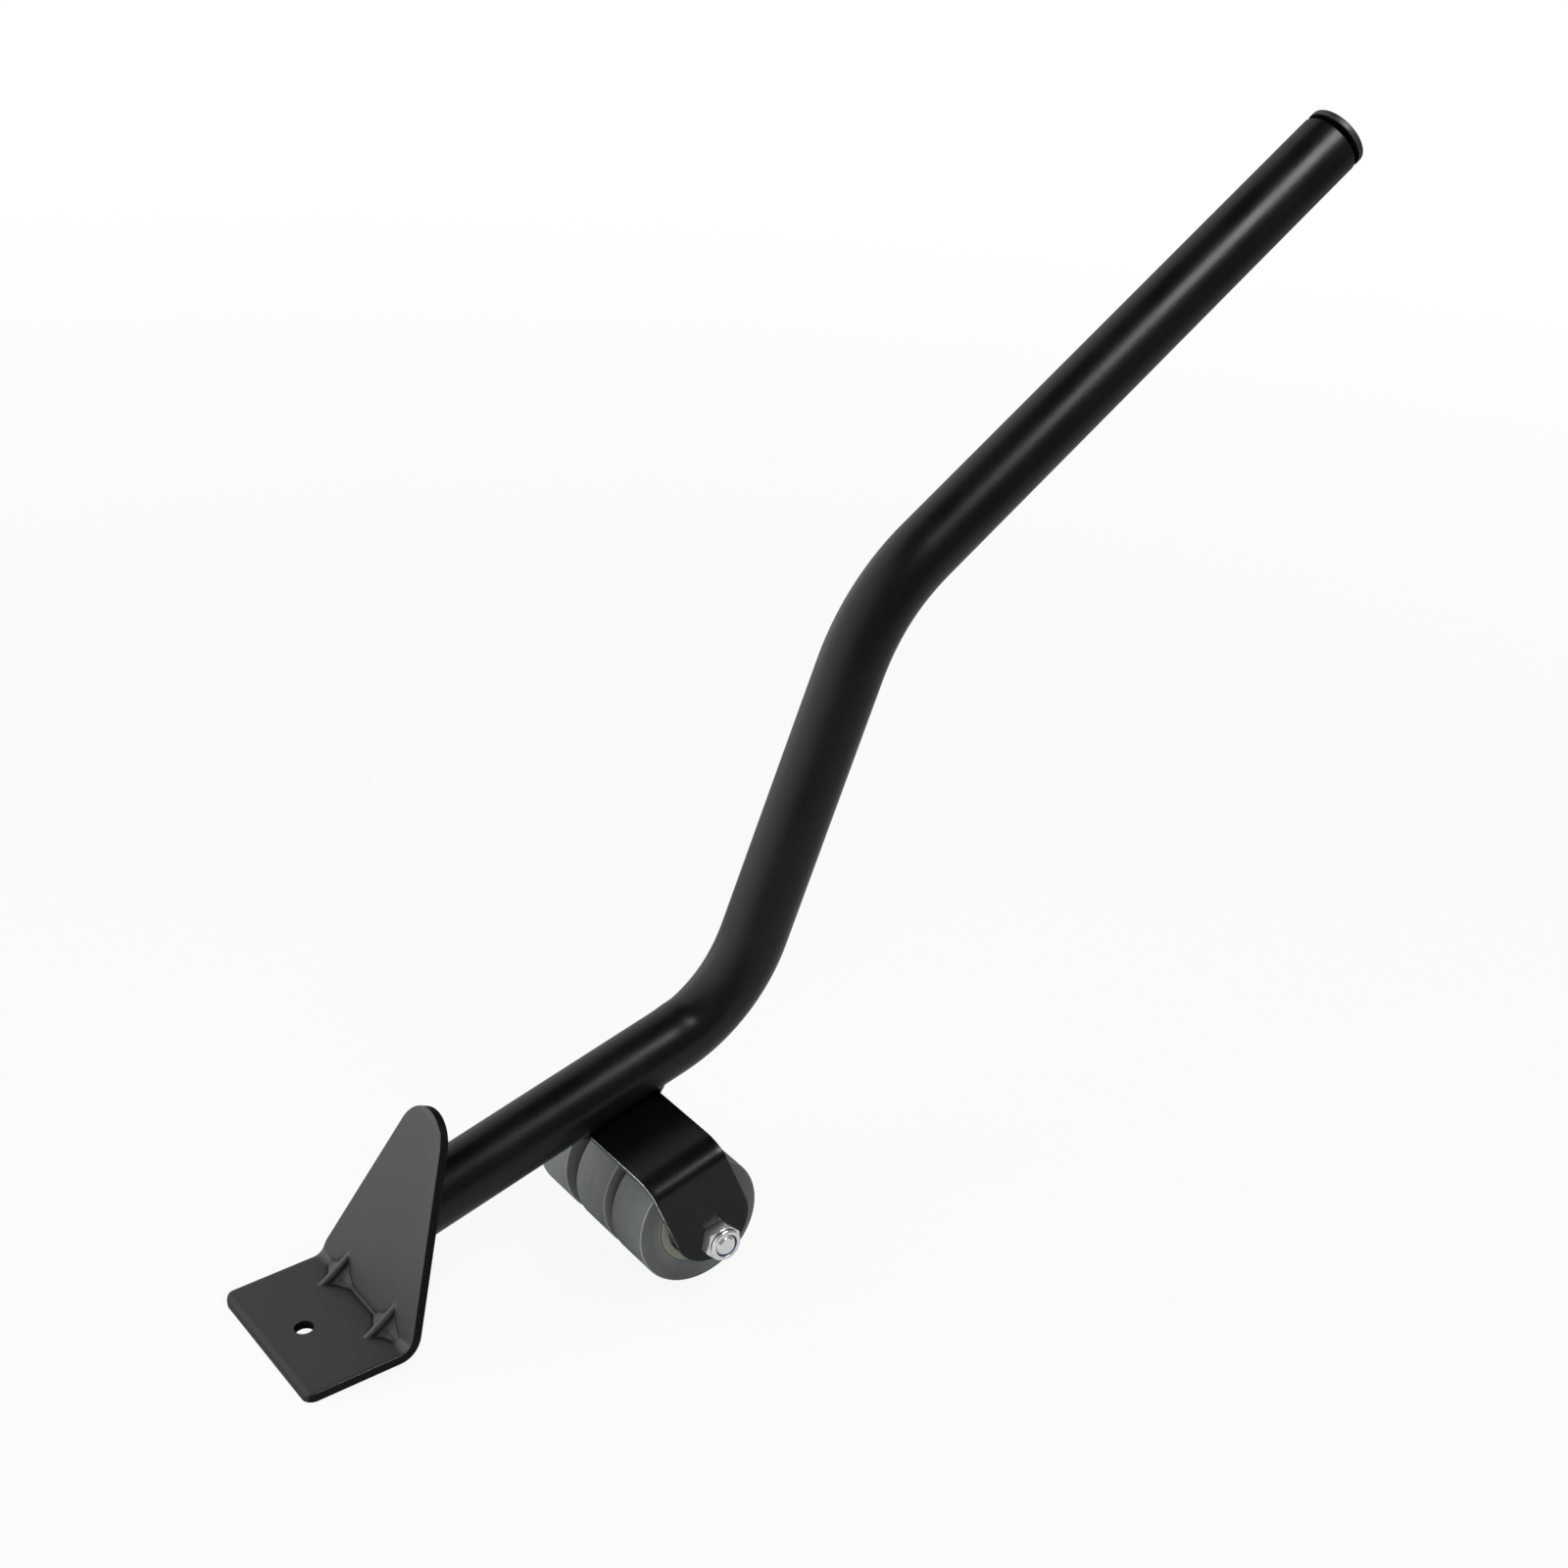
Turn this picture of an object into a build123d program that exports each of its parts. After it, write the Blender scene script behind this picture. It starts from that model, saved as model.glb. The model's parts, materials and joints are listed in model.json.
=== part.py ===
from build123d import *
import math
import os

# Furniture lifter: an S-bent tube lever with a bent toe plate at its foot and three rollers under it.
# Lengths are millimetres and angles are degrees.
# The pieces are drawn with the toe level, its inner corner at the origin, +X towards the handle and +Z up.
# They are then turned to stand on the floor on the toe's front edge and the rollers.

# Toe plate, one bent sheet
plate_width = 67.6
plate_thickness = 3.5
plate_angle = 116.0
plate_inside_bend = 2.0
plate_edge_round = 0.7
toe_length = 38.3
toe_corner_round = 4.0
toe_hole_diameter = 7.0
toe_hole_from_front = 15.4
back_height = 75.4
back_straight = 5.1
back_shoulder_round = 8.0
back_tip_round = 14.4

# Ribs pressed into the plate's bend
rib_spacing = 35.4
rib_on_toe = 8.6
rib_on_back = 9.5
rib_flank_angle = 42.0
rib_ridge_round = 2.0
rib_foot_round = 3.0

# Lever tube
tube_diameter = 25.0
tube_wall = 2.0
tube_height_on_back = 34.9
lower_rise = 13.5
middle_rise = 64.2
handle_rise = 30.9
lower_run = 142.9
middle_run = 159.3
handle_run = 249.2
lower_bend_radius = 60.0
upper_bend_radius = 90.0
tube_rim_round = 0.5

# Weld beads
toe_weld_leg = 3.0
toe_weld_throat = 0.3
bracket_weld_leg = 3.3
bracket_weld_length = 14.0

# Cap in the handle's end
cap_flange_set_in = 0.1
cap_flange_thickness = 3.2
cap_flange_round = 1.0
cap_neck_gap = 2.4
cap_stem_length = 18.0
cap_stem_wall = 2.0
cap_fin_height = 0.5
cap_fin_thickness = 1.5
cap_fin_pitch = 5.0
cap_fin_count = 3

# Wheel bracket, a strap bent to a U
strap_width = 31.0
strap_thickness = 2.0
strap_inside_bend = 4.5
strap_far_inside_bend = 7.4
strap_to_bend = 55.1
axle_set_back = 2.4
axle_below_tube = 48.9
ear_below_axle = 8.2

# Axle bolt and lock nut
axle_diameter = 8.0
hole_clearance = 0.2
running_clearance = 0.05
hex_flats = 13.0
hex_chamfer_angle = 30.0
bolt_head_height = 5.3
bolt_tip_chamfer = 0.8
bolt_tip_proud = 0.3
nut_hex_height = 4.2
nut_collar_height = 2.0
nut_collar_diameter = 12.4
nut_collar_round = 1.2
nut_lip = 0.5
insert_wall = 1.0
insert_height = 2.2

# Rollers
tyre_diameter = 50.0
tyre_width = 19.8
tyre_shoulder_round = 0.8
tyre_groove_width = 0.6
tyre_groove_depth = 0.3
hub_diameter = 32.0
hub_length = 21.4
hub_rim_width = 20.6
hub_rim_wall = 3.0
hub_web_thickness = 11.0
hub_boss_diameter = 18.0
bush_diameter = 11.0
roller_side_play = 0.2
roller_offset = 0.9
roller_spacer_diameter = 16.0
near_spacer_length = 3.2
far_spacer_length = 5.4
end_spacer_diameter = 13.0
end_spacer_length = 9.45

# Worked out from the sizes above
tube_radius = tube_diameter / 2
tube_bore_radius = tube_radius - tube_wall
axle_radius = axle_diameter / 2
tyre_radius = tyre_diameter / 2
bush_radius = bush_diameter / 2
back_rise = 180 - plate_angle
hub_room = hub_length / 2 + roller_side_play
roller_places = {
    "near": -roller_offset - near_spacer_length - 2 * hub_room,
    "middle": -roller_offset,
    "far": -roller_offset + far_spacer_length + 2 * hub_room,
}
near_ear_inside = roller_places["near"] - hub_room - end_spacer_length
near_ear_outside = near_ear_inside - strap_thickness
far_ear_inside = roller_places["far"] + hub_room
far_ear_outside = far_ear_inside + strap_thickness
nut_height = nut_hex_height + nut_collar_height
loose_bore = axle_radius + hole_clearance
running_bore = axle_radius + running_clearance
strap_top = axle_below_tube - tube_radius
strap_front = -axle_set_back - strap_width / 2
strap_rear = strap_front + strap_width


def heading(rise):
    """Unit vector in the middle plane that climbs at an angle from +X."""
    return Vector(math.cos(math.radians(rise)), 0, math.sin(math.radians(rise)))


def square_to(rise):
    """Unit vector in the middle plane, a quarter turn above a heading."""
    return heading(rise + 90)


back_up = heading(back_rise)
back_out = -square_to(back_rise)
tube_foot = back_up * tube_height_on_back + back_out * plate_thickness
lower_corner = tube_foot + heading(lower_rise) * lower_run
upper_corner = lower_corner + heading(middle_rise) * middle_run
tube_end = upper_corner + heading(handle_rise) * handle_run
strap_middle = lower_corner - heading(lower_rise) * strap_to_bend
axle_centre = strap_middle + heading(lower_rise) * axle_set_back - square_to(lower_rise) * axle_below_tube
back_face = Plane(origin=tube_foot, x_dir=(0, 1, 0), z_dir=back_out)
at_axle = Location(axle_centre, (0, -lower_rise, 0))
at_tube_end = Location(tube_end, (0, -handle_rise, 0))

# Turn about Y that brings the toe's rounded front edge and the rollers down to one floor
edge_centre = Vector(plate_edge_round - toe_length, 0, plate_edge_round - plate_thickness)
edge_to_axle = axle_centre - edge_centre
floor_slope = math.asin((tyre_radius - plate_edge_round) / edge_to_axle.length)
stance = math.degrees(floor_slope - math.atan2(edge_to_axle.Z, edge_to_axle.X))


def polygon(*points):
    return make_face(Polyline(*points, close=True))


def ring(outer_radius, inner_radius, start, end):
    """Round ring about the Y axis between two distances along it."""
    middle = Pos((outer_radius + inner_radius) / 2, (start + end) / 2)
    return revolve(middle * Rectangle(outer_radius - inner_radius, end - start), Axis.Y)


def hexagon(height):
    """Hexagon head that stands on the XZ plane along +Y, with its far corners turned off."""
    corner = hex_flats / math.sqrt(3)
    flat = hex_flats / 2
    drop = (corner - flat) * math.tan(math.radians(hex_chamfer_angle))
    turned = polygon((0, 0), (corner, 0), (corner, height - drop), (flat, height), (0, height))
    prism = extrude(Plane.XZ * RegularPolygon(flat, 6, major_radius=False), -height)
    return revolve(turned, Axis.Y) & prism


def back_outline():
    """Outline of the back plate from its straight foot up to its round tip."""
    half = plate_width / 2
    centre = back_height - back_tip_round
    reach = math.hypot(half, centre - back_straight)
    turn = math.acos(back_tip_round / reach) + math.atan2(back_straight - centre, half)
    touch_x = back_tip_round * math.cos(turn)
    touch_y = centre + back_tip_round * math.sin(turn)
    sides = Polyline((-touch_x, touch_y), (-half, back_straight), (half, back_straight), (touch_x, touch_y))
    tip = ThreePointArc((touch_x, touch_y), (0, back_height), (-touch_x, touch_y))
    return make_face(sides + tip)


def bent_sheet():
    """The plate's side view, drawn across its whole width, with the bend rounded."""
    foot = Vector(-toe_length, 0, 0)
    under = Vector(0, 0, -plate_thickness)
    outer_corner = under + Vector(plate_thickness * math.tan(math.radians(back_rise / 2)), 0, 0)
    top = back_up * back_height
    side = polygon((0, 0, 0), foot, foot + under, outer_corner, top + back_out * plate_thickness, top)
    side = fillet(side.vertices().sort_by_distance((0, 0, 0))[0], plate_inside_bend)
    side = fillet(side.vertices().sort_by_distance(outer_corner)[0], plate_inside_bend + plate_thickness)
    return extrude(side, plate_width / 2, both=True)


def trimmed_sheet():
    """The bent sheet with its back cut to the tapered outline and its corners and rim rounded."""
    sheet = bent_sheet()
    back_plane = Plane(origin=(0, 0, 0), x_dir=(0, 1, 0), z_dir=back_out)
    blank = Pos(0, back_straight + back_height) * Rectangle(2 * plate_width, 2 * back_height)
    room = 2 * plate_thickness
    sheet = sheet - extrude(back_plane * (blank - back_outline()), room, both=True)
    across_back = sheet.edges().filter_by(Axis((0, 0, 0), back_out))
    shoulders = across_back.sort_by(Axis((0, 0, 0), back_up))[:2]
    sheet = fillet(shoulders, back_shoulder_round)
    sheet = fillet(sheet.edges().filter_by(Axis.Z).sort_by(Axis.X)[:2], toe_corner_round)
    broad = sheet.faces().filter_by(Axis.Z) + sheet.faces().filter_by(Axis((0, 0, 0), back_out))
    bend_lines = sheet.faces().filter_by(GeomType.CYLINDER).filter_by(is_bend).edges().filter_by(Axis.Y)
    rim = [edge for edge in broad.edges() if edge not in bend_lines]
    return fillet(rim, plate_edge_round)


def is_bend(face):
    """True for the two round faces of the plate's bend."""
    return abs(face.axis_of_rotation.direction.Y) > 0.5


def ridge_plane(drop):
    """Plane square to the ribs' ridge line and a drop below it, its Y axis away from the sheet."""
    start = Vector(-rib_on_toe, 0, 0)
    end = back_up * rib_on_back
    ridge = end - start
    above = square_to(math.degrees(math.atan2(ridge.Z, ridge.X)))
    return Plane(origin=(start + end) * 0.5 - above * drop, x_dir=(0, 1, 0), z_dir=ridge)


def ridge_height():
    """Distance from the ribs' ridge line down to the plate's inner corner."""
    ridge = back_up * rib_on_back + Vector(rib_on_toe, 0, 0)
    return rib_on_toe * rib_on_back * math.sin(math.radians(plate_angle)) / ridge.length


def rib_flank(depth):
    """Half width of a rib's flanks at a depth below its ridge, and the height where they would meet."""
    slope = math.radians(rib_flank_angle)
    peak = rib_ridge_round * (1 / math.cos(slope) - 1)
    return (peak + depth) / math.tan(slope), peak


def pressed_rib():
    """Bar with a round ridge and spread feet, cut off inside the sheet."""
    height = ridge_height()
    half, peak = rib_flank(height)
    skirt = half + rib_foot_round
    base = -height - plate_thickness
    right = [(half, -height), (skirt, -height), (skirt, base)]
    left = [(-x, y) for x, y in reversed(right)]
    section = polygon((0, peak), *right, *left)
    section = fillet(section.vertices().sort_by(Axis.Y)[-1], rib_ridge_round)
    for sign in (1, -1):
        section = fillet(section.vertices().sort_by_distance((sign * half, -height))[0], rib_foot_round)
    reach = 2 * (rib_on_toe + rib_on_back)
    bar = extrude(ridge_plane(0) * section, reach, both=True)
    core = (back_out - Vector(0, 0, 1)) * (plate_thickness / 2)
    out = Vector(-reach, 0, 0)
    up = back_up * reach
    return bar & extrude(polygon(core, core + out, core + out + up, core + up), skirt, both=True)


def pressed_dent():
    """Hollow that the press leaves behind a rib, one sheet's thickness under its ridge."""
    depth = 3 * plate_thickness
    half, peak = rib_flank(depth)
    section = polygon((0, peak), (half, -depth), (-half, -depth))
    section = fillet(section.vertices().sort_by(Axis.Y)[-1], rib_ridge_round)
    return extrude(ridge_plane(plate_thickness) * section, rib_on_toe + rib_on_back, both=True)


def toe_plate():
    sheet = trimmed_sheet()
    hole = Cylinder(toe_hole_diameter / 2, 4 * plate_thickness)
    sheet = sheet - Pos(toe_hole_from_front - toe_length, 0, 0) * hole
    places = [Pos(0, sign * rib_spacing / 2, 0) for sign in (1, -1)]
    for place in places:
        sheet = sheet + place * pressed_rib()
    for place in places:
        sheet = sheet - place * pressed_dent()
    return sheet


def tube_core(radius):
    """Endless round bar along the tube's lower run, with its middle at the tube's foot."""
    plane = Plane(origin=tube_foot, x_dir=(0, 1, 0), z_dir=heading(lower_rise))
    return extrude(plane * Circle(radius), lower_run, both=True)


def lever_tube():
    start = tube_foot - heading(lower_rise) * tube_diameter
    bends = (lower_bend_radius, upper_bend_radius)
    path = FilletPolyline(start, lower_corner, upper_corner, tube_end, radius=bends)
    plane = Plane(origin=start, x_dir=(0, 1, 0), z_dir=heading(lower_rise))
    tube = sweep(plane * (Circle(tube_radius) - Circle(tube_bore_radius)), path=path)
    tube = split(tube, bisect_by=back_face, keep=Keep.TOP)
    return fillet(tube.faces().sort_by_distance(tube_end)[0].edges(), tube_rim_round)


def toe_weld():
    """Fillet weld round the tube's slanted foot, on the plate's back face."""
    mitre = math.radians(lower_rise - back_rise + 90)
    stretch = 1 / math.cos(mitre)
    foot = Ellipse(tube_radius + toe_weld_leg, (tube_radius + toe_weld_leg) * stretch)
    crest = Ellipse(tube_radius + toe_weld_throat, (tube_radius + toe_weld_throat) * stretch)
    climb = heading(lower_rise) * (toe_weld_leg * stretch)
    crest_plane = Plane(origin=tube_foot + climb, x_dir=(0, 1, 0), z_dir=back_out)
    bead = loft([back_face * foot, crest_plane * crest], ruled=True)
    return bead - tube_core(tube_radius)


def wheel_bracket():
    """Strap bent down to two ears, in the axle's own frame."""
    low = -ear_below_axle - strap_thickness
    under = strap_top - strap_thickness
    middle = (near_ear_inside + far_ear_inside) / 2
    room = far_ear_inside - near_ear_inside
    span = far_ear_outside - near_ear_outside
    outer = Pos(middle, (strap_top + low) / 2) * Rectangle(span, strap_top - low)
    inner = Pos(middle, (under + low) / 2) * Rectangle(room, under - low)
    for side, bend in ((0, strap_inside_bend), (-1, strap_far_inside_bend)):
        outer_corner = outer.vertices().sort_by(Axis.Y)[-2:].sort_by(Axis.X)[side]
        outer = fillet(outer_corner, bend + strap_thickness)
        inner_corner = inner.vertices().sort_by(Axis.Y)[-2:].sort_by(Axis.X)[side]
        inner = fillet(inner_corner, bend)
    strap = extrude(Plane.YZ * (outer - inner), 2 * strap_width, both=True)
    ear_radius = strap_width / 2
    ear_centre = ear_radius - ear_below_axle
    bend_foot = under - strap_inside_bend
    side = polygon(
        (strap_front, strap_top),
        (strap_rear, strap_top),
        (strap_rear, bend_foot),
        (ear_radius, ear_centre),
        (-ear_radius, ear_centre),
        (strap_front, bend_foot),
    )
    side = side + Pos(0, ear_centre) * Circle(ear_radius)
    strap = strap & extrude(Plane.XZ * side, span, both=True)
    return strap - Rot(90, 0, 0) * Cylinder(loose_bore, 2 * span)


def bracket_weld(edge, side):
    """Short bead across the tube's underside at one edge of the strap, in the axle's own frame."""
    section = Pos(edge, strap_top) * Ellipse(bracket_weld_leg, strap_thickness)
    rod = extrude(Plane.XZ * section, bracket_weld_length / 2, both=True)
    keep = Pos(edge + side * strap_width / 2, 0, strap_top) * Box(strap_width, strap_width, strap_width)
    tube = Pos(0, 0, axle_below_tube) * Rot(0, 90, 0) * Cylinder(tube_radius, 4 * strap_width)
    return (rod & keep) - tube


def end_cap():
    """Flanged plug with sealing fins, along +X from the tube's end."""
    stem_radius = tube_bore_radius - cap_fin_height
    face = cap_neck_gap + cap_flange_thickness
    rim = tube_radius - cap_flange_set_in
    flange = polygon((cap_neck_gap, 0), (cap_neck_gap, rim), (face, rim), (face, 0))
    flange = fillet(flange.vertices().sort_by(Axis.Y)[-2:], cap_flange_round)
    stem_run = cap_stem_length + cap_neck_gap
    stem = Pos(cap_neck_gap - stem_run / 2, stem_radius / 2) * Rectangle(stem_run, stem_radius)
    fins = Sketch()
    for index in range(cap_fin_count):
        place = Pos(-cap_fin_pitch * index - cap_fin_thickness, tube_bore_radius / 2)
        fins = fins + place * Rectangle(cap_fin_thickness, tube_bore_radius)
    plug = revolve(flange + stem + fins, Axis.X)
    hollow = stem_radius - cap_stem_wall
    return plug - Pos(-cap_stem_length / 2, 0, 0) * Rot(0, 90, 0) * Cylinder(hollow, cap_stem_length)


def axle_bolt():
    tip = near_ear_outside - nut_height - bolt_tip_proud
    turned = polygon(
        (0, tip),
        (axle_radius - bolt_tip_chamfer, tip),
        (axle_radius, tip + bolt_tip_chamfer),
        (axle_radius, far_ear_outside),
        (0, far_ear_outside),
    )
    return revolve(turned, Axis.Y) + Pos(0, far_ear_outside, 0) * hexagon(bolt_head_height)


def insert_span():
    """Start and end of the nut's nylon ring, measured out from the ear."""
    end = nut_height - nut_lip
    return end - insert_height, end


def lock_nut():
    """Hexagon nut with a round collar, built out along +Y and then turned to the near ear."""
    collar_radius = nut_collar_diameter / 2
    collar = polygon((0, 0), (collar_radius, 0), (collar_radius, nut_height), (0, nut_height))
    collar = fillet(collar.vertices().sort_by(Axis.X)[-2:].sort_by(Axis.Y)[-1], nut_collar_round)
    nut = hexagon(nut_hex_height) + revolve(collar, Axis.Y)
    seat_start, seat_end = insert_span()
    nut = nut - ring(axle_radius + insert_wall, 0, seat_start, seat_end)
    nut = nut - ring(axle_radius, 0, -nut_height, 2 * nut_height)
    return Pos(0, near_ear_outside, 0) * Rot(0, 0, 180) * nut


def lock_nut_insert():
    start, end = insert_span()
    return ring(axle_radius + insert_wall, axle_radius, near_ear_outside - end, near_ear_outside - start)


def tyre():
    wall = tyre_radius - hub_diameter / 2
    section = Pos(tyre_radius - wall / 2, 0) * Rectangle(wall, tyre_width)
    section = fillet(section.vertices().sort_by(Axis.X)[-2:], tyre_shoulder_round)
    groove = Pos(tyre_radius, 0) * Rectangle(2 * tyre_groove_depth, tyre_groove_width)
    return revolve(section - groove, Axis.Y)


def hub():
    radius = hub_diameter / 2
    boss = ring(hub_boss_diameter / 2, bush_radius, -hub_length / 2, hub_length / 2)
    web = ring(radius - hub_rim_wall / 2, bush_radius, -hub_web_thickness / 2, hub_web_thickness / 2)
    rim = ring(radius, radius - hub_rim_wall, -hub_rim_width / 2, hub_rim_width / 2)
    return boss + web + rim


def bush():
    return ring(bush_radius, running_bore, -hub_length / 2, hub_length / 2)


def roller_spacer(start, length):
    return ring(roller_spacer_diameter / 2, loose_bore, start, start + length)


def end_spacer():
    return ring(end_spacer_diameter / 2, loose_bore, near_ear_inside, near_ear_inside + end_spacer_length)


pieces = {
    "toe_plate": toe_plate(),
    "toe_weld": toe_weld(),
    "lever_tube": lever_tube(),
    "end_cap": at_tube_end * end_cap(),
    "wheel_bracket": at_axle * wheel_bracket(),
    "bracket_weld_front": at_axle * bracket_weld(strap_front, -1),
    "bracket_weld_rear": at_axle * bracket_weld(strap_rear, 1),
    "axle_bolt": at_axle * axle_bolt(),
    "lock_nut": at_axle * lock_nut(),
    "lock_nut_insert": at_axle * lock_nut_insert(),
    "end_spacer": at_axle * end_spacer(),
    "roller_spacer_near": at_axle * roller_spacer(roller_places["near"] + hub_room, near_spacer_length),
    "roller_spacer_far": at_axle * roller_spacer(roller_places["middle"] + hub_room, far_spacer_length),
}
for roller, offset in roller_places.items():
    place = at_axle * Pos(0, offset, 0)
    pieces["tyre_" + roller] = place * tyre()
    pieces["hub_" + roller] = place * hub()
    pieces["bush_" + roller] = place * bush()

# Stand on the floor, with the origin under the middle of the whole lever
turned = Rot(0, -stance, 0)
reach = Compound(children=[turned * piece for piece in pieces.values()]).bounding_box()
standing = Pos(-reach.center().X, -reach.center().Y, -reach.min.Z) * turned

os.makedirs("parts", exist_ok=True)
for name, piece in pieces.items():
    export_step(standing * piece, "parts/" + name + ".step")
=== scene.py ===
import json
from math import acos, atan2, ceil, copysign, cos, degrees, exp, hypot, pi, radians, sin, sqrt, tan, tau

import bmesh
import bpy
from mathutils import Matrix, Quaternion, Vector, noise


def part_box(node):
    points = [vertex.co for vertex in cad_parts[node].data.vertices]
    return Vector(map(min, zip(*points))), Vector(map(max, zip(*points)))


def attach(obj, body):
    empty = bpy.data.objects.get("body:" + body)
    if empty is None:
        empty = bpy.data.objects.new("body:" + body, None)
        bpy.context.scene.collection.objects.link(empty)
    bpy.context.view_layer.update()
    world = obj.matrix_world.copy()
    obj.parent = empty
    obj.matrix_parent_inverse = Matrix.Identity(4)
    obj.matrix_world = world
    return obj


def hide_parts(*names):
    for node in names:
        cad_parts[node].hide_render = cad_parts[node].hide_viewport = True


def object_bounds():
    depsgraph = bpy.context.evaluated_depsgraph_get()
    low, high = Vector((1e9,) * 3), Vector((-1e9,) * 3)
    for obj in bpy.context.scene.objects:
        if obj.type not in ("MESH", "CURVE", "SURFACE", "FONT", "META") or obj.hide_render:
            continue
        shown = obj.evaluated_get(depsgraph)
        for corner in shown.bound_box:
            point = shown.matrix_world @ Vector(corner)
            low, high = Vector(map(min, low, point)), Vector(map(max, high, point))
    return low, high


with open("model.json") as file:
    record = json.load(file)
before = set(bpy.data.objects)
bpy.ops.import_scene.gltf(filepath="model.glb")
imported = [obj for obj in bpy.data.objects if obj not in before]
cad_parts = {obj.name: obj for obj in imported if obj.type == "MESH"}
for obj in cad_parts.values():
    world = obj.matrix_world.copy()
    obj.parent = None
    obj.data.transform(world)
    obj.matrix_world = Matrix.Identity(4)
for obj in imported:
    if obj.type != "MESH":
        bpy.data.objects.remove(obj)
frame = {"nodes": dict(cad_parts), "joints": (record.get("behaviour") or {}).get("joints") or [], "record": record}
cad_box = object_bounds()

# Looks of a lever furniture lifter. Lengths are metres, and sizes in millimetres are written with MM.
MM = 0.001
nodes = frame["nodes"]
record = frame["record"]
joint_places = {joint["name"]: Vector(joint["pos_m"]) for joint in frame["joints"]}
mounts = {mount["name"]: mount for mount in record["mounts"]}
slot_of = {part["node"]: part["material_slot"] for part in record["subparts"]}
body_of = {node: body for body, members in record["behaviour"]["bodies"].items() for node in members}
across = Vector((0, 1, 0))
sharp_angle = radians(35)
merge_distance = 0.1e-6
edge_steps = 4

# Camera, at the photo's viewing angle, with its place measured from the lever's middle plane
camera_place = Vector((-0.52846, -0.68191, 0.55314))
camera_azimuth = -36.746
camera_elevation = 23.989
camera_roll = 4.371
camera_lens = 59.326

# Studio
wall_azimuth = -131
wall_dim = 0.16
wall_bright = 1.95
wall_start = -0.1
wall_end = 1.5
wall_top_start = 0.806
wall_top_end = 0.859
ceiling_share = 0.05
floor_half = 30
floor_tone = 0.6
floor_white = 0.91
floor_white_start = 0.3
floor_white_end = 2
floor_far_start = 0.2
floor_far_end = 2.1

# Lamps: azimuth, elevation, distance, width, height, power and whether glossy surfaces show them
lamps = {
    "key_light": (23, 56.8, 1.16, 0.59, 0.405, 9.7, True),
    "fill_light": (-98, -4, 1.2, 0.8, 0.2, 19, False),
    "front_light": (-40, -2, 1.2, 0.8, 0.3, 8, False),
}

# Toe plate, one bent sheet
plate_width = 67.6 * MM
plate_thickness = 3.5 * MM
plate_turn = radians(64)
plate_inside_bend = 1 * MM
plate_edge_bend = 5 * MM
plate_edge_round = 0.25 * MM
toe_length = 38.3 * MM
toe_corner_round = 4 * MM
toe_nose_round = 3 * MM
toe_nose_facing = 0.7
toe_hole_from_front = 15.4 * MM
toe_hole_edge_round = 0.12 * MM
back_height = 75.4 * MM
back_straight = 5.1 * MM
back_shoulder_round = 8 * MM
back_tip_round = 14.4 * MM
tip_row_turn = 35

# Ribs pressed into the plate's bend
rib_spacing = 35.4 * MM
rib_on_toe = 8.6 * MM
rib_on_back = 9.5 * MM
rib_ridge_round = 1.7 * MM
rib_side_turn = 82
rib_hollow_round = 1 * MM
rib_facet_rise = 13
rib_facet_step = 0.45 * MM
rib_fold = 0.8 * MM
rib_fold_reach = 6 * MM
rib_depth_share = 1.1
rib_reach = 12 * MM
rib_blend = 0.25 * MM
rib_crease_depth = 0.15 * MM
rib_crease_width = 0.3 * MM
rib_zone = 13.5 * MM
rib_zone_step = 0.25 * MM
plate_step = 2.5 * MM

# Lever tube
tube_radius = 12.5 * MM
tube_wall = 2 * MM
tube_rim_round = 0.5 * MM
tube_foot_clear = 2 * MM
lower_run = 142.9 * MM
middle_run = 159.3 * MM
handle_run = 249.2 * MM
lower_turn = radians(50.7)
upper_turn = radians(33.3)
lower_bend_radius = 60 * MM
upper_bend_radius = 90 * MM
lower_bend_dent = 0.9 * MM
upper_bend_dent = 0.35 * MM
lower_dent_rise = (0.12, 0.26)
lower_dent_fall = (0.45, 1)
back_lean = radians(50.5)
tube_segments = 96
straight_step = 6 * MM
bend_steps = 56

# Weld beads
toe_weld_leg = 3 * MM
toe_weld_crown = 0.3
bracket_weld_crown = 0.04
bracket_weld_leg = 4.2 * MM
bracket_weld_length = 14 * MM
weld_pitch = 1.9 * MM
weld_ripple = 0.1
weld_wobble = 0.1
weld_wobble_rate = 0.45
bead_steps = 8
toe_weld_steps = 360
bracket_weld_steps = 56

# Wheel bracket, measured from the axle along the tube's lower run
strap_width = 31 * MM
strap_thickness = 2 * MM
strap_edge_round = 0.3 * MM
strap_near_bend = 6.5 * MM
strap_far_bend = 9.4 * MM
strap_bend_lead = 11 * MM
strap_bend_steps = 12
strap_columns = 12
axle_set_back = 2.4 * MM
axle_below_tube = 48.9 * MM
ear_below_axle = 8.2 * MM
ear_row_turn = 50

# Axle bolt and lock nut
axle_radius = 4 * MM
axle_hole_radius = 4.2 * MM
hex_flats = 13 * MM
hex_chamfer = radians(30)
hex_corner_break = 0.15 * MM
hex_edge_round = 0.2 * MM
hex_segments = 144
nut_hex_height = 4.2 * MM
nut_height = 6.2 * MM
nut_collar_radius = 6.15 * MM
nut_collar_round = 1 * MM
nut_lip_radius = 4.45 * MM
nut_lip_drop = 0.4 * MM
bolt_tip_chamfer = 0.7 * MM
bolt_head_height = 5.3 * MM
bolt_head_dish = 0.25 * MM

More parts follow.
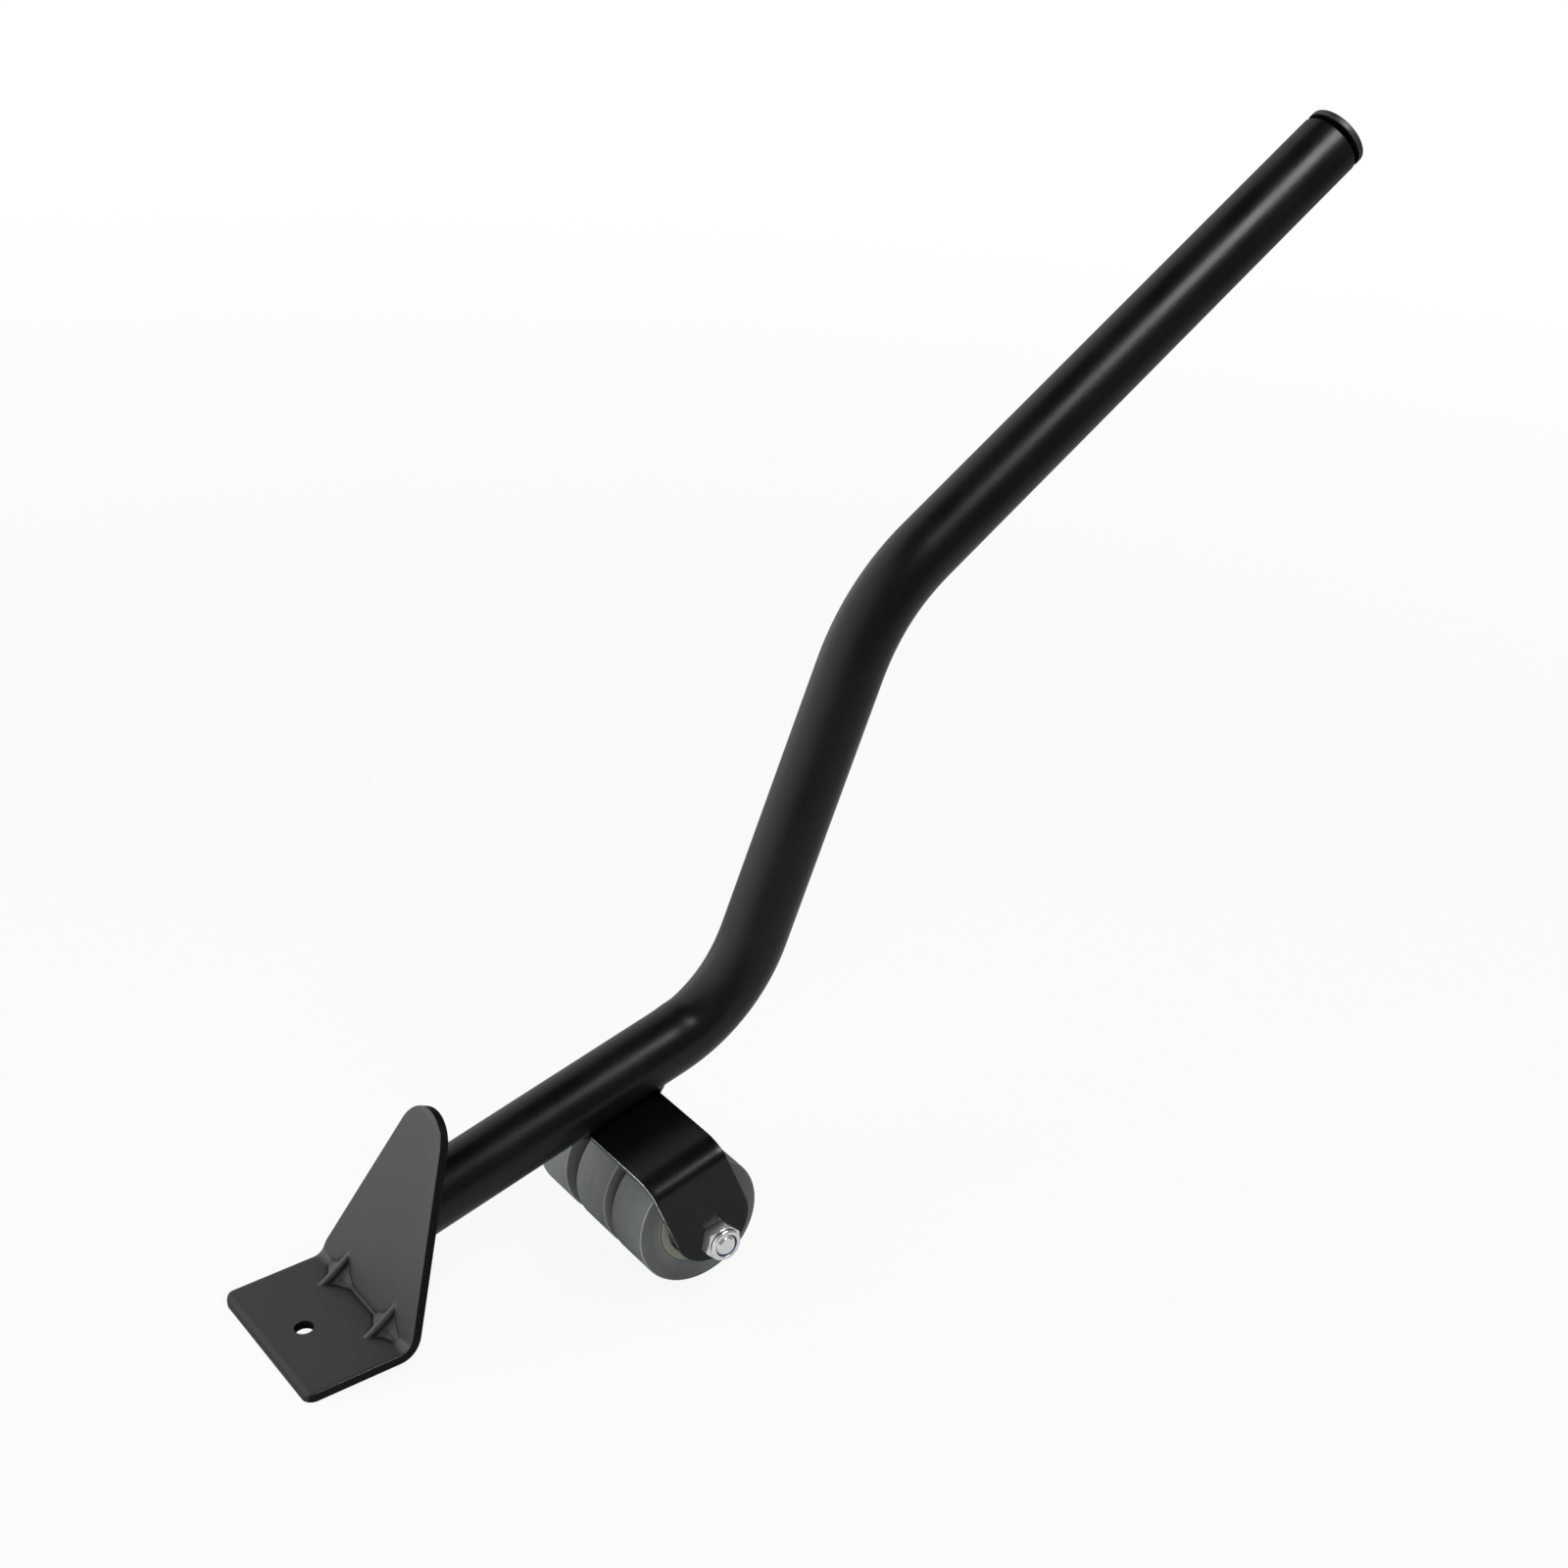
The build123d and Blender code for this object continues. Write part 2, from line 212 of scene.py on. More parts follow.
# Rollers
tyre_radius = 25 * MM
tyre_width = 19.8 * MM
tyre_bore = 16 * MM
tyre_shoulder = 0.8 * MM
# Share of the shoulder that takes the paler rubber, a painted highlight
tyre_highlight_share = 0.55
tyre_groove_width = 0.35 * MM
tyre_groove_depth = 0.1 * MM
tyre_lip_width = 0.9 * MM
tyre_lip_height = 0.25 * MM
tyre_dish = 0.2 * MM
tyre_segments = 160
hub_radius = 15.98 * MM
hub_rim_half = 10.3 * MM
hub_rim_wall = 3 * MM
hub_web_half = 5.5 * MM
hub_boss_radius = 9 * MM
hub_edge_round = 0.4 * MM
bush_radius = 5.5 * MM
bush_bore = 4.05 * MM
turned_segments = 96
small_round = 0.25 * MM

# Cap in the handle's end
cap_radius = 12.4 * MM
cap_thickness = 3.2 * MM
cap_round = 1 * MM
cap_gap = 2.4 * MM
cap_stem_radius = 10 * MM
cap_stem_length = 18 * MM
cap_crown = 0.35 * MM
cap_gate_radius = 1.6 * MM
cap_gate_depth = 0.4 * MM

handle_axis = Vector(mounts["handle"]["axis"])
handle_half = mounts["handle"]["dims"]["length_mm"] * MM / 2
tube_end = Vector(mounts["handle"]["pos_m"]) + handle_axis * (handle_half + tube_rim_round)
handle_heading = atan2(handle_axis.z, handle_axis.x)
middle_heading = handle_heading + upper_turn
lower_heading = middle_heading - lower_turn
back_heading = lower_heading + back_lean
toe_heading = back_heading - plate_turn
axle = Vector(joint_places["middle_roller_spin"])
axle.y = tube_end.y
toe_hole = Vector(mounts["toe_hole"]["pos_m"])


def heading(angle):
    """Unit vector in the lever's middle plane that climbs at an angle from +X."""
    return Vector((cos(angle), 0, sin(angle)))


def square_to(angle):
    """Unit vector in the middle plane, a quarter turn above a heading."""
    return heading(angle + pi / 2)


toe_way = heading(toe_heading)
back_way = heading(back_heading)
lower_way = heading(lower_heading)
lower_side = square_to(lower_heading)
upper_corner = tube_end - heading(handle_heading) * handle_run
lower_corner = upper_corner - heading(middle_heading) * middle_run
tube_foot = lower_corner - lower_way * lower_run


def smooth(value, start, end):
    """Smooth step from 0 at start to 1 at end."""
    share = min(1, max(0, (value - start) / (end - start)))
    return share * share * (3 - 2 * share)


def turns_round(count):
    """Angles of evenly spaced places round a circle."""
    return [tau * index / count for index in range(count)]


def steps_between(start, end, step):
    """Values from start up to, but without, end."""
    count = max(1, ceil((end - start) / step))
    return [start + (end - start) * index / count for index in range(count)]


def add_object(name, data):
    """New object in the scene."""
    added = bpy.data.objects.new(name, data)
    bpy.context.scene.collection.objects.link(added)
    return added


def finish_mesh(name, built):
    """New piece from a built mesh, smooth except across its sharp edges."""
    bmesh.ops.remove_doubles(built, verts=built.verts, dist=merge_distance)
    bmesh.ops.recalc_face_normals(built, faces=built.faces)
    mesh = bpy.data.meshes.new(name)
    built.to_mesh(mesh)
    built.free()
    mesh.shade_smooth()
    mesh.set_sharp_from_angle(angle=sharp_angle)
    return add_object(name, mesh)


def grid(name, rows, ring=False):
    """Piece of quads between rows of points, each a closed loop. A ring joins its last row to its first."""
    built = bmesh.new()
    points = [[built.verts.new(point) for point in row] for row in rows]
    pairs = list(zip(points, points[1:]))
    if ring:
        pairs.append((points[-1], points[0]))
    else:
        built.faces.new(points[0])
        built.faces.new(points[-1])
    for first, second in pairs:
        for index in range(len(first)):
            before = index - 1
            built.faces.new((first[before], first[index], second[index], second[before]))
    return finish_mesh(name, built)


def turned(name, centre, axis, profile, segments, start=0.0):
    """Piece turned about an axis from a closed profile of (radius, offset), or from one for each turn."""
    side = across.cross(axis) if abs(axis.y) < 0.5 else heading(start)
    other = axis.cross(side)
    rows = []
    for turn in turns_round(segments):
        spoke = side * cos(turn) + other * sin(turn)
        points = profile(turn) if callable(profile) else profile
        rows.append([centre + spoke * reach + axis * offset for reach, offset in points])
    return grid(name, rows, ring=True)


def arc(middle, offset, radius, start, end, steps=6):
    """Points of a round corner in a profile of (radius, offset along the axis)."""
    turns = [radians(start + (end - start) * index / steps) for index in range(steps + 1)]
    return [(middle + radius * cos(turn), offset + radius * sin(turn)) for turn in turns]


def ring_end(outside, inside, height, soft):
    """Profile of a ring's end face, from its outer round corner to its inner one."""
    return [
        *arc(outside - soft, height - soft, soft, 0, 90, 4),
        *arc(inside + soft, height - soft, soft, 90, 180, 4),
    ]


def mirrored(half):
    """Closed profile from its half on the positive side."""
    return [*((reach, -offset) for reach, offset in reversed(half)), *half]


def outline_spots(rows):
    """Places (row, column) round the edge of a sheet's rows."""
    last_row = len(rows) - 1
    last_column = len(rows[0]) - 1
    return [
        *((0, column) for column in range(last_column)),
        *((row, last_column) for row in range(last_row)),
        *((last_row, column) for column in range(last_column, 0, -1)),
        *((row, 0) for row in range(last_row, 0, -1)),
    ]


def bent_sheet(name, rows, place, thickness, edge_round):
    """Sheet from rows of flat (along, side) points, put in space by place(along, side, depth).

    Its rim is rounded. The rim's first corner, wall and last corner take the materials after the first.
    """
    spots = outline_spots(rows)
    outline = [Vector(rows[row][column]) for row, column in spots]
    count = len(spots)
    outward = []
    for index in range(count):
        along = outline[(index + 1) % count] - outline[index - 1]
        outward.append(Vector((-along.y, along.x)).normalized())
    turns = [pi / 2 * index / edge_steps for index in range(edge_steps + 1)]
    rim = [(edge_round * sin(turn), edge_round * (1 - cos(turn))) for turn in turns]
    rim += [(reach, thickness - depth) for reach, depth in reversed(rim)]
    built = bmesh.new()
    loops = []
    for reach, depth in rim:
        points = [place(*(point + out * reach), depth) for point, out in zip(outline, outward)]
        loops.append([built.verts.new(point) for point in points])
    for step, (first, second) in enumerate(zip(loops, loops[1:])):
        for index in range(count):
            face = built.faces.new((first[index - 1], first[index], second[index], second[index - 1]))
            face.material_index = 1 if step < edge_steps else 2 if step == edge_steps else 3
    for loop, depth in ((loops[0], 0), (loops[-1], thickness)):
        corners = dict(zip(spots, loop))
        for row, points in enumerate(rows):
            for column, point in enumerate(points):
                if (row, column) not in corners:
                    corners[row, column] = built.verts.new(place(*point, depth))
        for row in range(1, len(rows)):
            for column in range(1, len(rows[0])):
                spots_round = ((row - 1, column - 1), (row - 1, column), (row, column), (row, column - 1))
                built.faces.new([corners[spot] for spot in spots_round])
    return finish_mesh(name, built)


def bore(piece, cutter):
    """Cuts one piece's shape out of another, and takes the cutter away."""
    cut = piece.modifiers.new("bore", "BOOLEAN")
    cut.operation = "DIFFERENCE"
    cut.solver = "EXACT"
    cut.object = cutter
    shaped = piece.evaluated_get(bpy.context.evaluated_depsgraph_get())
    plain = piece.data
    piece.data = bpy.data.meshes.new_from_object(shaped)
    piece.modifiers.clear()
    piece.data.set_sharp_from_angle(angle=sharp_angle)
    bpy.data.meshes.remove(plain)
    bpy.data.objects.remove(cutter)


def dress(piece, *coats):
    """Gives a piece its materials. A new piece isn't cleared, because that forgets which face has which."""
    if piece.data.materials:
        piece.data.materials.clear()
    for material in coats:
        piece.data.materials.append(material)


def stand_for(piece, node, *edge_coats):
    """Puts a new piece in a node's place, on the node's body and with the node's slot and material."""
    slot = slot_of[node]
    dress(piece, *(materials[name] for name in (slot, *edge_coats)))
    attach(piece, body_of[node])
    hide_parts(node)


# Materials, kept by their names
materials = {}


def start_material(name, roughness, specular=0.5, metallic=0.0):
    """Node tree and shader of a new material, with the shader's plain values set."""
    materials[name] = bpy.data.materials.new(name)
    materials[name].use_nodes = True
    tree = materials[name].node_tree
    shader = tree.nodes["Principled BSDF"]
    shader.inputs["Roughness"].default_value = roughness
    shader.inputs["Specular IOR Level"].default_value = specular
    shader.inputs["Metallic"].default_value = metallic
    return tree, shader


def add_node(tree, kind, inputs=None, **settings):
    """Outputs of a new shader node with its settings, and its inputs linked to sockets or set to values."""
    node = tree.nodes.new("ShaderNode" + kind)
    for name, value in settings.items():
        setattr(node, name, value)
    for name, value in (inputs or {}).items():
        if isinstance(value, bpy.types.NodeSocket):
            tree.links.new(value, node.inputs[name])
        else:
            node.inputs[name].default_value = value
    return node.outputs


def speckle(tree, cell, detail=2.0, stretch=(1, 1, 1)):
    """Noise from 0 to 1 in the piece's own coordinates, with cells of a length in metres."""
    place = add_node(tree, "TexCoord")["Object"]
    scale = [share / cell for share in stretch]
    place = add_node(tree, "Mapping", {"Vector": place, "Scale": scale})["Vector"]
    return add_node(tree, "TexNoise", {"Vector": place, "Scale": 1, "Detail": detail})["Fac"]


def spread(tree, value, low, high, start=0.3, end=0.7):
    """Maps a value from a range to another."""
    ends = {"From Min": start, "From Max": end, "To Min": low, "To Max": high}
    return add_node(tree, "MapRange", {"Value": value, **ends}, interpolation_type="SMOOTHSTEP")["Result"]


def combine(tree, operation, first, second):
    """Sum, product or other operation on a value and a second value or a number."""
    return add_node(tree, "Math", {0: first, 1: second}, operation=operation)["Value"]


def reach_along(tree, vector, direction):
    """How far a vector reaches in a fixed direction."""
    return add_node(tree, "VectorMath", {0: vector, 1: direction}, operation="DOT_PRODUCT")["Value"]


# A mix node's inputs 2 and 3 are its values, and 6 and 7 its colours
def choose(tree, factor, first, second):
    """Value between a first value and a number."""
    return add_node(tree, "Mix", {"Factor": factor, 2: first, 3: second}, data_type="FLOAT")[0]


def tint(tree, factor, first, second):
    """Colour between two colours, each a colour or another colour's socket."""
    inputs = {"Factor": factor}
    for place, colour in ((6, first), (7, second)):
        inputs[place] = colour if isinstance(colour, bpy.types.NodeSocket) else (*colour, 1)
    return add_node(tree, "Mix", inputs, data_type="RGBA")[2]


def corner_shade(tree, reach, level):
    """0 deep in a piece's corners and a level on its open faces, used to paint shade into corners."""
    open_air = add_node(tree, "AmbientOcclusion", {"Distance": reach}, only_local=True)["AO"]
    return spread(tree, open_air, 0, level, 0.7, 0.97)


def coat(tree, shader, colour, roughness, *layers):
    """Gives a shader its colour, its roughness where that varies, and bump layers one over the other.

    A layer is (height, strength, depth in metres).
    """
    tree.links.new(colour, shader.inputs["Base Color"])
    if roughness:
        tree.links.new(roughness, shader.inputs["Roughness"])
    under = {}
    for height, strength, depth in layers:
        inputs = {"Height": height, "Strength": strength, "Distance": depth, **under}
        under = {"Normal": add_node(tree, "Bump", inputs)["Normal"]}
    tree.links.new(under["Normal"], shader.inputs["Normal"])


def black_coat():
    """Satin black powder coat with orange peel and a softly uneven gloss."""
    tree, shader = start_material("black_coat", 0.3, specular=0.29)
    patches = speckle(tree, 25 * MM, 3)
    peel = speckle(tree, 1.1 * MM, 1)
    grain = speckle(tree, 0.35 * MM, 2)
    face = tint(tree, spread(tree, patches, 0, 1), (0.0012, 0.0012, 0.0012), (0.0022, 0.0021, 0.0021))
    gloss = spread(tree, patches, 0.29, 0.34)
    coat(tree, shader, face, gloss, (peel, 0.32, 0.08 * MM), (grain, 0.35, 0.02 * MM))


def lies(tree, direction):
    """How far the shaded point lies from the axle in a direction, in metres."""
    place = add_node(tree, "TexCoord")["Object"]
    return combine(tree, "SUBTRACT", reach_along(tree, place, direction), axle.dot(direction))


def rubbed_highlight_coat():
    """The same coat on a sheared edge: paler at the strap's front, partly rubbed and partly a painted highlight
    where light catches that edge, and whole at its rear and foot.
    """
    tree, shader = start_material("rubbed_highlight_coat", 0.42, specular=0.3)
    rubs = speckle(tree, 3 * MM, 4)
    grain = speckle(tree, 0.4 * MM, 2)
    # Painted highlight mask: full at the strap's front edge and high up, none at its rear and towards the axle
    front = spread(tree, lies(tree, lower_way), 1, 0, -13 * MM, -6 * MM)
    high = spread(tree, lies(tree, lower_side), 0, 1, 0, 34 * MM)
    rubbed_highlight_mask = combine(tree, "MULTIPLY", front, high)
    rubbed_highlight_tone = tint(tree, spread(tree, rubs, 0, 1), (0.09, 0.09, 0.09), (0.31, 0.31, 0.305))
    face = tint(tree, rubbed_highlight_mask, (0.002, 0.002, 0.002), rubbed_highlight_tone)
    coat(tree, shader, face, spread(tree, rubs, 0.5, 0.36), (grain, 0.2, 0.03 * MM))


def shade_black(name, roughness, specular):
    """Dull black with little gloss for a cut edge or a plastic face that lies in shade, keeping it dark: painted
    shade.
    """
    tree, shader = start_material(name, roughness, specular)
    grain = speckle(tree, 0.4 * MM, 2)
    face = tint(tree, grain, (0.0015, 0.0015, 0.0015), (0.004, 0.004, 0.004))
    coat(tree, shader, face, None, (grain, 0.2, 0.03 * MM))


def charcoal_coat():
    """Satin charcoal powder coat with a fine pebble texture."""
    tree, shader = start_material("charcoal_coat", 0.4, specular=0.9)
    patches = speckle(tree, 18 * MM, 3)
    pebble = speckle(tree, 0.6 * MM, 2)
    grain = speckle(tree, 0.25 * MM, 2)
    streaks = speckle(tree, 0.9 * MM, 2, stretch=(1, 1, 0.06))
    face = tint(tree, spread(tree, patches, 0, 1), (0.004, 0.004, 0.004), (0.006, 0.006, 0.0058))
    face = tint(tree, spread(tree, grain, 0, 0.5), face, (0.009, 0.0088, 0.0086))
    layers = (streaks, 0.2, 0.05 * MM), (pebble, 0.25, 0.05 * MM), (grain, 0.2, 0.02 * MM)
    coat(tree, shader, face, spread(tree, patches, 0.37, 0.42), *layers)
    # Painted shade: the gloss, and with it the sheen, falls off deep in the plate's corners and creases and on the
    # toe's rounded nose
    front = (toe_hole - axle).dot(toe_way) - toe_hole_from_front
    nose = spread(tree, lies(tree, toe_way), 0.25, 1, front, front + 1.5 * toe_nose_round)
    gloss = combine(tree, "MULTIPLY", corner_shade(tree, 6 * MM, 0.86), nose)
    tree.links.new(gloss, shader.inputs["Specular IOR Level"])


def moulded_rubber(name, dark, pale):
    """Moulded rubber with faint turned rings and scuffs."""
    tree, shader = start_material(name, 0.6, specular=0.4)
    rings = speckle(tree, 0.7 * MM, 2, stretch=(0.02, 1, 0.02))
    patches = speckle(tree, 9 * MM, 4)
    scuffs = speckle(tree, 1.6 * MM, 3)
    grain = speckle(tree, 0.3 * MM, 2)
    face = tint(tree, spread(tree, patches, 0, 1), dark, pale)
    face = tint(tree, spread(tree, scuffs, 0, 0.45), face, dark)
    face = tint(tree, spread(tree, rings, 0, 0.3), face, pale)
    gloss = spread(tree, patches, 0.52, 0.68)
    coat(tree, shader, face, gloss, (rings, 0.08, 0.05 * MM), (grain, 0.25, 0.02 * MM))


def moulded_plastic(name, dark, pale, roughness):
    """Moulded plastic with a fine grain and slightly uneven colour."""
    tree, shader = start_material(name, roughness)
    patches = speckle(tree, 7 * MM, 3)
    grain = speckle(tree, 0.3 * MM, 2)
    face = tint(tree, spread(tree, patches, 0, 1), dark, pale)
    gloss = spread(tree, patches, roughness - 0.05, roughness + 0.05)
    coat(tree, shader, face, gloss, (grain, 0.2, 0.02 * MM))


def bare_metal(name, cool, warm, roughness, metallic=1.0):
    """Plated or plain steel with fine scratches and a slight change of hue."""
    tree, shader = start_material(name, roughness, metallic=metallic)
    patches = speckle(tree, 5 * MM, 3)
    scratches = speckle(tree, 0.5 * MM, 3, stretch=(1, 0.08, 1))
    face = tint(tree, spread(tree, patches, 0, 1), cool, warm)
    gloss = spread(tree, scratches, roughness - 0.04, roughness + 0.05)
    coat(tree, shader, face, gloss, (scratches, 0.015, 0.02 * MM))


black_coat()
rubbed_highlight_coat()
# Painted shade: a dull black for the plate's cut walls and its hole, and a black without gloss for the cap's neck
# gap
shade_black("edge_shade_coat", 0.55, 0.12)
shade_black("gap_shade_plastic", 0.9, 0)
charcoal_coat()
moulded_rubber("grey_rubber", (0.081, 0.09, 0.087), (0.102, 0.113, 0.109))
# Paler rubber for the tyres' shoulders: a painted highlight where light catches their rims
moulded_rubber("shoulder_highlight_rubber", (0.155, 0.17, 0.164), (0.205, 0.223, 0.216))
# The hub's colour is its tone in the ear's shade, darker than the cream plastic itself: painted shade
moulded_plastic("cream_plastic", (0.145, 0.147, 0.122), (0.17, 0.173, 0.144), 0.45)
moulded_plastic("black_plastic", (0.013, 0.011, 0.0093), (0.02, 0.017, 0.0143), 0.45)
moulded_plastic("spacer_plastic", (0.022, 0.022, 0.022), (0.034, 0.034, 0.034), 0.55)
moulded_plastic("nylon", (0.02, 0.03, 0.08), (0.03, 0.045, 0.11), 0.5)
bare_metal("zinc_steel", (0.93, 0.95, 0.97), (0.96, 0.96, 0.95), 0.22, metallic=0.95)
bare_metal("bush_steel", (0.5, 0.5, 0.5), (0.56, 0.55, 0.54), 0.35)
for name, node in nodes.items():
    dress(node, materials[slot_of[name]])


# Lever tube
def straight_stations(start, end, angle):
    """Places along a straight run: point, heading, and no bend."""
    count = max(1, round((end - start).length / straight_step))
    return [(start.lerp(end, index / count), angle, None, 0) for index in range(count + 1)]


def bend_stations(corner, before, after, radius, name):
    """Places round a bend: point, heading, the bend's name and the share of it gone through."""
    turn = after - before
    side = copysign(1, turn)
    start = corner - heading(before) * (radius * tan(abs(turn) / 2))
    centre = start + square_to(before) * (side * radius)
    stations = []
    for index in range(1, bend_steps):
        angle = before + turn * index / bend_steps
        point = centre - square_to(angle) * (side * radius)
        stations.append((point, angle, name, (angle - before) / turn))
    return stations


def tube_stations():
    """Places along the whole tube, from just clear of its slanted foot to the start of its rim."""
    clear = tube_radius / tan(back_lean) + tube_foot_clear
    angle = lower_heading
    start = tube_foot + heading(angle) * clear
    stations = []
    bends = (
        (lower_corner, middle_heading, lower_bend_radius, "lower"),
        (upper_corner, handle_heading, upper_bend_radius, "upper"),
    )
    for corner, after, radius, name in bends:
        reach = radius * tan(abs(after - angle) / 2)
        stations += straight_stations(start, corner - heading(angle) * reach, angle)
        stations += bend_stations(corner, angle, after, radius, name)
        start = corner + heading(after) * reach
        angle = after
    return stations + straight_stations(start, tube_end - heading(angle) * tube_rim_round, angle)


def bend_dent(bend, share, turn):
    """How far a bend's wall is pressed in, at a turn round the tube from +Y towards its upper side."""
    if bend == "lower":
        inside = max(0, sin(turn))
        press = smooth(share, *lower_dent_rise) * (1 - smooth(share, *lower_dent_fall))
        return lower_bend_dent * press * inside ** 2
    if bend == "upper":
        inside = max(0, -sin(turn))
        return upper_bend_dent * sin(pi * share) ** 2 * inside ** 2
    return 0


def tube_ring(station, radius):
    """Loop of points round the tube at a station."""
    point, angle, bend, share = station
    side = square_to(angle)
    loop = []
    for turn in turns_round(tube_segments):
        reach = radius - bend_dent(bend, share, turn)
        loop.append(point + across * (reach * cos(turn)) + side * (reach * sin(turn)))
    return loop


def foot_ring(radius):
    """Loop where the tube meets the back plate, cut on the plate's slant."""
    loop = []
    for turn in turns_round(tube_segments):
        rise = radius * sin(turn)
        slide = rise / tan(back_lean)
        loop.append(tube_foot + across * (radius * cos(turn)) + lower_side * rise + lower_way * slide)
    return loop


def rim_rings(outer, inner):
    """Rounded rim at the handle's end, from the outer wall to the inner wall."""
    rings = []
    direction = heading(handle_heading)
    for middle, sign in ((outer - tube_rim_round, 1), (inner + tube_rim_round, -1)):
        for index in range(edge_steps + 1):
            turn = pi / 2 * (index if sign > 0 else edge_steps - index) / edge_steps
            slide = (sin(turn) - 1) * tube_rim_round
            reach = middle + sign * tube_rim_round * cos(turn)
            rings.append(tube_ring((tube_end + direction * slide, handle_heading, None, 0), reach))
    return rings


def make_tube():
    stations = tube_stations()
    inside = tube_radius - tube_wall
    outer = [foot_ring(tube_radius), *(tube_ring(station, tube_radius) for station in stations[:-1])]
    inner = [foot_ring(inside), *(tube_ring(station, inside) for station in stations[:-1])]
    rows = [*outer, *rim_rings(tube_radius, inside), *reversed(inner)]
    stand_for(grid("lever_tube_bent", rows, ring=True), "lever_tube")


# Weld beads
def bead_loop(root, first, second, swell, crown):
    """Closed section of a fillet bead between two legs from its root, with its face crowned outwards."""
    loop = [root]
    for index in range(bead_steps + 1):
        share = index / bead_steps
        bulge = swell * (1 + crown * sin(pi * share))
        loop.append(root + (first * (1 - share) + second * share) * bulge)
    return loop


def ripple(length):
    """Swell of a bead at a length along it: overlapping drops, each a little different."""
    drop = length / weld_pitch
    wobble = noise.noise(Vector((drop * weld_wobble_rate, 3.7, 1.3)))
    return 1 + weld_ripple * (abs(sin(pi * drop)) - 0.6) + weld_wobble * wobble


def make_toe_weld():
    """Bead round the tube's slanted foot, on the plate's back face."""
    plate_normal = -square_to(back_heading)
    rows = []
    length = 0
    previous = None
    for turn in turns_round(toe_weld_steps):
        out = across * cos(turn) + lower_side * sin(turn)
        slide = tube_radius * sin(turn) / tan(back_lean)
        root = tube_foot + out * tube_radius + lower_way * slide
        if previous:
            length += (root - previous).length
        previous = root
        along_plate = (out - plate_normal * out.dot(plate_normal)).normalized()
        legs = along_plate * toe_weld_leg, lower_way * toe_weld_leg
        rows.append(bead_loop(root, *legs, ripple(length), toe_weld_crown))
    stand_for(grid("toe_weld_bead", rows, ring=True), "toe_weld")


def make_bracket_weld(name, edge, sign):
    """Short bead across the tube's underside at one edge of the strap."""
    rows = []
    for index in range(bracket_weld_steps + 1):
        place = bracket_weld_length * (index / bracket_weld_steps - 0.5)
        tube_under = axle_below_tube - sqrt(tube_radius ** 2 - place ** 2)
        end_round = sqrt(max(0.02, 1 - (2 * place / bracket_weld_length) ** 6))
        swell = ripple(place + bracket_weld_length) * end_round
        root = axle + lower_way * edge + lower_side * tube_under + across * place
        drop = lower_side * (strap_top - tube_under - strap_thickness)
        rows.append(bead_loop(root, lower_way * (sign * bracket_weld_leg), drop, swell, bracket_weld_crown))
    stand_for(grid(name + "_bead", rows), name)


# Rollers
def tyre_half():
    """One half of the tyre's section, from its groove round its shoulder and side to its bore."""
    half = tyre_width / 2
    groove = tyre_groove_width / 2
    lip = tyre_lip_height
    face = tyre_bore + tyre_lip_width
    return [
        (tyre_radius - tyre_groove_depth, 0.5 * groove),
        (tyre_radius - 0.5 * tyre_groove_depth, 0.9 * groove),
        (tyre_radius - 0.1 * tyre_groove_depth, 1.15 * groove),
        (tyre_radius, 1.7 * groove),
        (tyre_radius, 0.5 * half),
        *arc(tyre_radius - tyre_shoulder, half - tyre_shoulder, tyre_shoulder, 0, 90),
        (0.5 * (tyre_radius - tyre_shoulder + face), half - 0.8 * tyre_dish),
        (face + lip, half - tyre_dish),
        *arc(face - lip, half - lip / 2, lip * 1.5, 0, 90, 4),
        *arc(tyre_bore + lip, half - lip / 2, lip * 1.5, 90, 160, 4),
        (tyre_bore, half - 4 * lip),
    ]


def make_tyre(roller):
    profile = mirrored(tyre_half())
    centre = joint_places[roller + "_roller_spin"]
    tyre = turned("tyre_" + roller + "_moulded", centre, across, profile, tyre_segments)
    edge = tyre_shoulder * tyre_highlight_share
    # The shoulder faces take the paler rubber, a painted highlight along the tyre's rims
    for face in tyre.data.polygons:
        spot = face.center - centre
        if hypot(spot.x, spot.z) > tyre_radius - edge and abs(spot.y) > tyre_width / 2 - edge:
            face.material_index = 1
    stand_for(tyre, "tyre_" + roller, "shoulder_highlight_rubber")


def hub_half(boss_half):
    """One half of the hub's section, from its seat in the tyre over its rim, web and boss to its bore."""
    soft = hub_edge_round
    rim_inside = hub_radius - hub_rim_wall
    return [
        (hub_radius, 0.5 * hub_rim_half),
        *ring_end(hub_radius, rim_inside, hub_rim_half, soft),
        *arc(rim_inside - 2 * soft, hub_web_half + 2 * soft, 2 * soft, 0, -90, 5),
        *arc(hub_boss_radius + 2 * soft, hub_web_half + 2 * soft, 2 * soft, -90, -180, 5),
        *ring_end(hub_boss_radius, bush_radius, boss_half, soft),
        (bush_radius, 0.5 * boss_half),
    ]


def make_hub(roller):
    node = "hub_" + roller
    low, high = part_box(node)
    profile = mirrored(hub_half((high.y - low.y) / 2))
    centre = joint_places[roller + "_roller_spin"]
    hub = turned(node + "_moulded", centre, across, profile, turned_segments)
    stand_for(hub, node)


def make_ring(node, inside):
    """Plain ring on the axle with softened edges, as long and as wide as its node."""
    low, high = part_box(node)
    outside = (high.x - low.x) / 2
    half = (high.y - low.y) / 2
    profile = mirrored(ring_end(outside, inside, half, small_round))
    ring = turned(node + "_turned", (low + high) / 2, across, profile, turned_segments)
    stand_for(ring, node)


# Axle bolt and lock nut
def hex_reach(turn):
    """Distance from a hexagon's middle to its side, with a corner at turn 0 and the corners just broken."""
    from_flat = turn % (pi / 3) - pi / 6
    return min(hex_flats / 2 / cos(from_flat), hex_flats / sqrt(3) - hex_corner_break)


